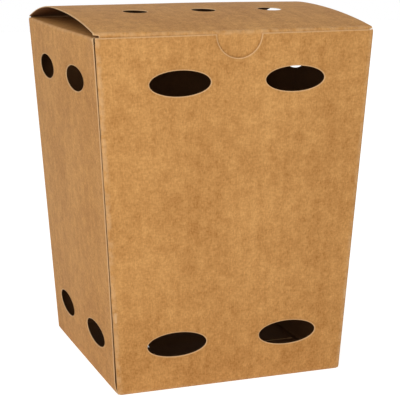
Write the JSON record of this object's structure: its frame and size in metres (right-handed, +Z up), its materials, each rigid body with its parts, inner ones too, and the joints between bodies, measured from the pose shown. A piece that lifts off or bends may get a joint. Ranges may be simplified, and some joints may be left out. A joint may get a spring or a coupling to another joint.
{
  "type": "cardboard food container",
  "caption": "Tapered upright takeaway carton of folded kraft board with oval vents, thumb notch, lock bottom and an arched hinged lid that tucks in.",
  "frame": {"origin": "on the floor, under the middle of the sleeve", "axes": "+Z up, front wall with the thumb notch towards -Y, lid crease along X at the back, +X to the right seen from the front"},
  "size_m": [0.1518, 0.1419, 0.1945],
  "materials": {
    "kraft_board": "uncoated brown kraft board, matt, with fine fibre mottling and paler raw cut edges"
  },
  "bodies": {
    "carton": {"carton": "kraft_board"},
    "lid": {"lid": "kraft_board"}
  },
  "joints": [
    {"name": "lid_hinge", "type": "hinge", "parent": "carton", "child": "lid", "pos_m": [0, 0.0707, 0.1853], "axis": [-1, 0, 0], "range_deg": [0, 180]}
  ]
}
